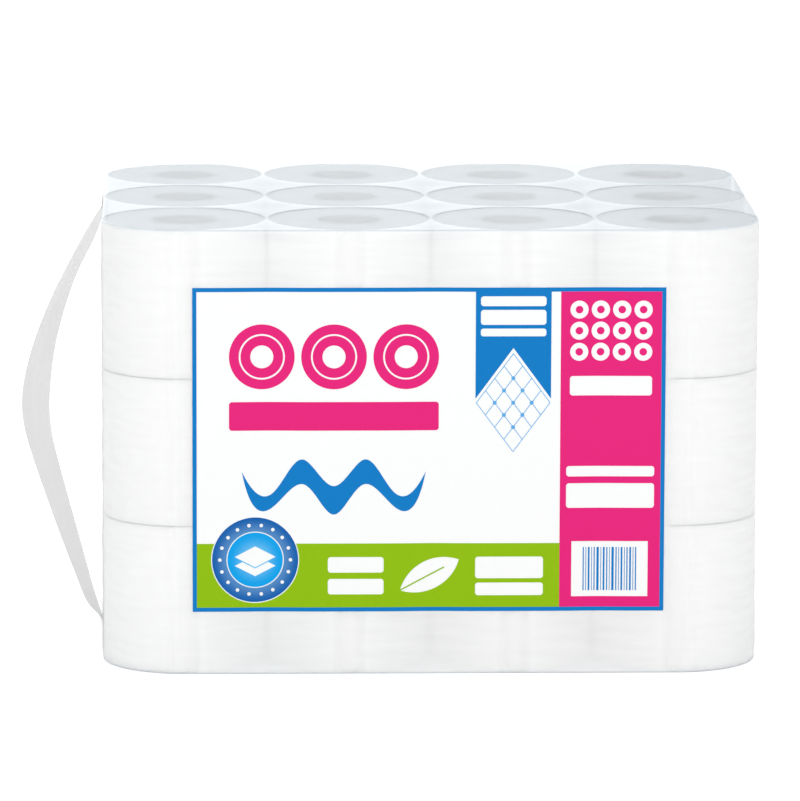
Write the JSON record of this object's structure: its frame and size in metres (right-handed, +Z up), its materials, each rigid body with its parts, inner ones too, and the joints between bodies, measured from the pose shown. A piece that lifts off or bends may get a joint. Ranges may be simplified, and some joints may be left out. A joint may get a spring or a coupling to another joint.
{
  "type": "toilet paper roll pack",
  "caption": "Bulk pack of toilet paper rolls wrapped in clear film, with a printed front panel and a carry strap on one end.",
  "frame": {"origin": "centre of the base of the roll stack, on the face that the pack stands on", "axes": "+X along the front from the strap's end to the other end, +Y from the printed front to the back, +Z up along the rolls' axes"},
  "size_m": [0.4924, 0.3273, 0.2958],
  "materials": {
    "roll_paper": "soft white embossed tissue",
    "core_board": "pale grey wound board",
    "clear_film": "thin clear glossy polythene",
    "strap_film": "milky polythene strip",
    "white_ink": "opaque white print on film",
    "blue_ink": "opaque blue print on film",
    "pink_ink": "opaque pink print on film",
    "green_ink": "opaque green print on film",
    "navy_ink": "opaque dark blue print on film",
    "cyan_ink": "opaque cyan print on film",
    "pale_blue_ink": "pale blue line print on film"
  },
  "bodies": {
    "root": {"roll_bottom_front_1": "roll_paper", "roll_bottom_front_2": "roll_paper", "roll_bottom_front_3": "roll_paper", "roll_bottom_front_4": "roll_paper", "roll_bottom_centre_1": "roll_paper", "roll_bottom_centre_2": "roll_paper", "roll_bottom_centre_3": "roll_paper", "roll_bottom_centre_4": "roll_paper", "roll_bottom_back_1": "roll_paper", "roll_bottom_back_2": "roll_paper", "roll_bottom_back_3": "roll_paper", "roll_bottom_back_4": "roll_paper", "roll_middle_front_1": "roll_paper", "roll_middle_front_2": "roll_paper", "roll_middle_front_3": "roll_paper", "roll_middle_front_4": "roll_paper", "roll_middle_centre_1": "roll_paper", "roll_middle_centre_2": "roll_paper", "roll_middle_centre_3": "roll_paper", "roll_middle_centre_4": "roll_paper", "roll_middle_back_1": "roll_paper", "roll_middle_back_2": "roll_paper", "roll_middle_back_3": "roll_paper", "roll_middle_back_4": "roll_paper", "roll_top_front_1": "roll_paper", "roll_top_front_2": "roll_paper", "roll_top_front_3": "roll_paper", "roll_top_front_4": "roll_paper", "roll_top_centre_1": "roll_paper", "roll_top_centre_2": "roll_paper", "roll_top_centre_3": "roll_paper", "roll_top_centre_4": "roll_paper", "roll_top_back_1": "roll_paper", "roll_top_back_2": "roll_paper", "roll_top_back_3": "roll_paper", "roll_top_back_4": "roll_paper", "cores_front_1": "core_board", "cores_front_2": "core_board", "cores_front_3": "core_board", "cores_front_4": "core_board", "cores_centre_1": "core_board", "cores_centre_2": "core_board", "cores_centre_3": "core_board", "cores_centre_4": "core_board", "cores_back_1": "core_board", "cores_back_2": "core_board", "cores_back_3": "core_board", "cores_back_4": "core_board", "film_wrap": "clear_film", "carry_strap": "strap_film", "print_white_ground": "white_ink", "print_blue": "blue_ink", "print_pink": "pink_ink", "print_green": "green_ink", "print_badge_ring": "navy_ink", "print_badge_disc": "cyan_ink", "print_quilt_lines": "pale_blue_ink"}
  },
  "joints": []
}
